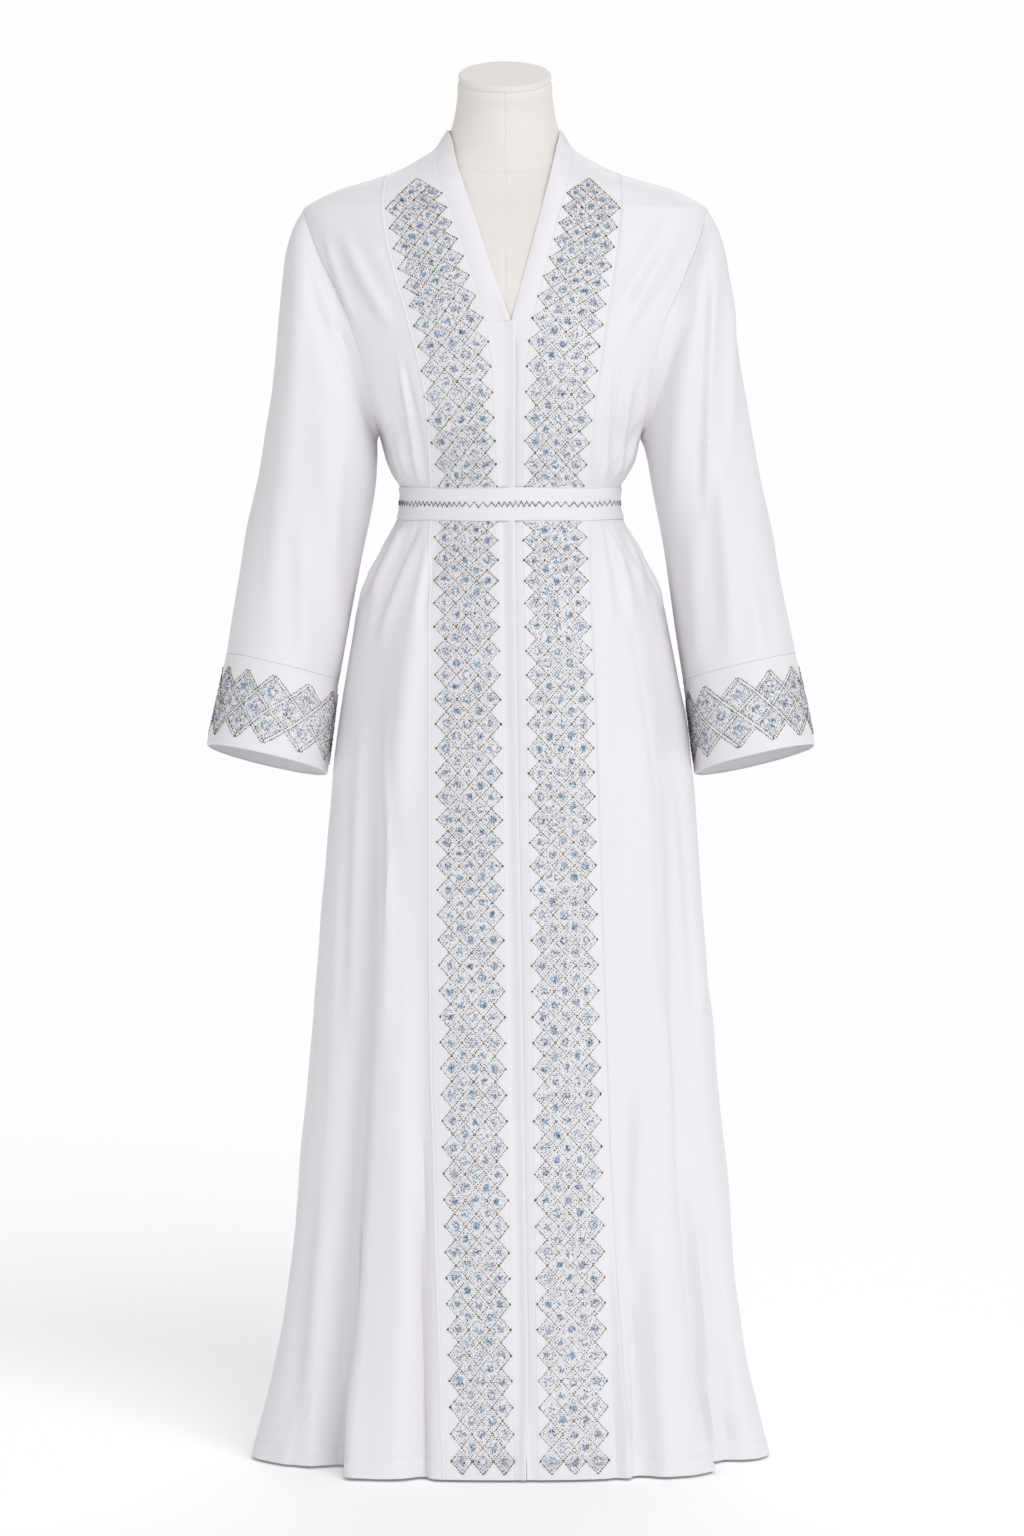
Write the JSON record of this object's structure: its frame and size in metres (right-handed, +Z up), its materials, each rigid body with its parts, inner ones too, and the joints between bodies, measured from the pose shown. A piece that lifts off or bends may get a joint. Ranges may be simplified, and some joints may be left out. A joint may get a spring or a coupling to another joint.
{
  "type": "closed abaya on a limbless dress form",
  "caption": "Floor-length closed abaya with V neck, long flared sleeves, deep cuffs, narrow self belt and beaded lattice bands, worn by a limbless dress form on a round base.",
  "frame": {"origin": "centre of the round base's flat underside, on the floor", "axes": "+Z up, the front faces -Y, the wearer's left is at +X"},
  "size_m": [0.647, 0.4416, 1.4879],
  "materials": {
    "cloth": "white satin-backed crepe with a soft sheen",
    "beading": "silver, white, taupe and blue glass beads sewn in a diamond lattice",
    "form_cover": "matte off-white woven cover",
    "stand_metal": "satin steel"
  },
  "bodies": {
    "root": {"front_band_left": "cloth", "front_band_right": "cloth", "centre_front_left": "cloth", "centre_front_right": "cloth", "side_front_left": "cloth", "side_front_right": "cloth", "back": "cloth", "neckband": "cloth", "belt": "cloth", "sleeve_left": "cloth", "sleeve_right": "cloth", "cuff_left": "cloth", "cuff_right": "cloth", "beading_cuff_left": "beading", "beading_cuff_right": "beading", "beading_bodice_left": "beading", "beading_bodice_right": "beading", "beading_skirt_left": "beading", "beading_skirt_right": "beading", "form_torso": "form_cover", "form_neck_cap": "form_cover", "form_pole": "stand_metal", "form_base": "stand_metal"}
  },
  "joints": []
}
